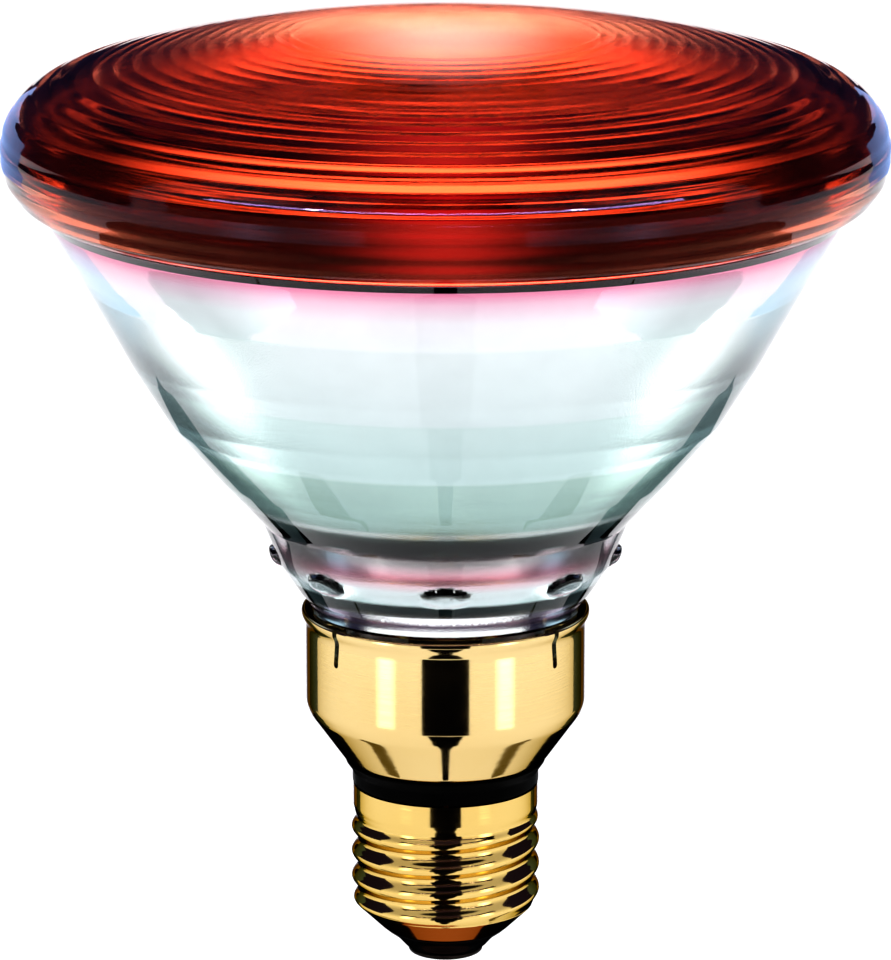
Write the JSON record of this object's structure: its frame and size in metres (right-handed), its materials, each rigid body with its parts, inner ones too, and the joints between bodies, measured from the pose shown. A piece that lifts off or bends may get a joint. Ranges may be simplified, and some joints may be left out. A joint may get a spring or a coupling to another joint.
{
  "type": "reflector heat lamp bulb",
  "caption": "Red pressed-glass infrared reflector lamp with a ridged domed lens, mirrored bowl and skirted brass Edison screw cap.",
  "frame": {"origin": "tip of the centre contact, on the lamp axis", "axes": "+Z along the lamp axis from the cap to the lens; X and Y across it, with the front of the cap at -Y"},
  "size_m": [0.1214, 0.1214, 0.1332],
  "materials": {
    "red_glass": "gloss",
    "clear_glass": "gloss",
    "mirror_film": "polished",
    "brass": "polished",
    "black_insulation": "satin",
    "black_glass": "gloss",
    "solder": "satin",
    "ferrule_metal": "satin",
    "lead_metal": "satin",
    "tungsten": "matte",
    "white_ceramic": "matte",
    "copper_wire": "satin"
  },
  "bodies": {
    "root": {"front_lens": "red_glass", "reflector_bowl": "clear_glass", "mirror_layer": "mirror_film", "exhaust_tip": "clear_glass", "ferrule_left": "ferrule_metal", "ferrule_right": "ferrule_metal", "lead_post_left": "lead_metal", "lead_post_right": "lead_metal", "filament": "tungsten", "filament_support": "lead_metal", "bridge_rod": "white_ceramic", "supply_wire_centre": "copper_wire", "supply_wire_shell": "copper_wire", "fuse_sleeve": "clear_glass", "shell_solder": "solder", "brass_skirt": "brass", "insulating_ring": "black_insulation", "screw_shell": "brass", "glass_insulator": "black_glass", "centre_contact": "brass", "centre_solder": "solder"}
  },
  "joints": []
}
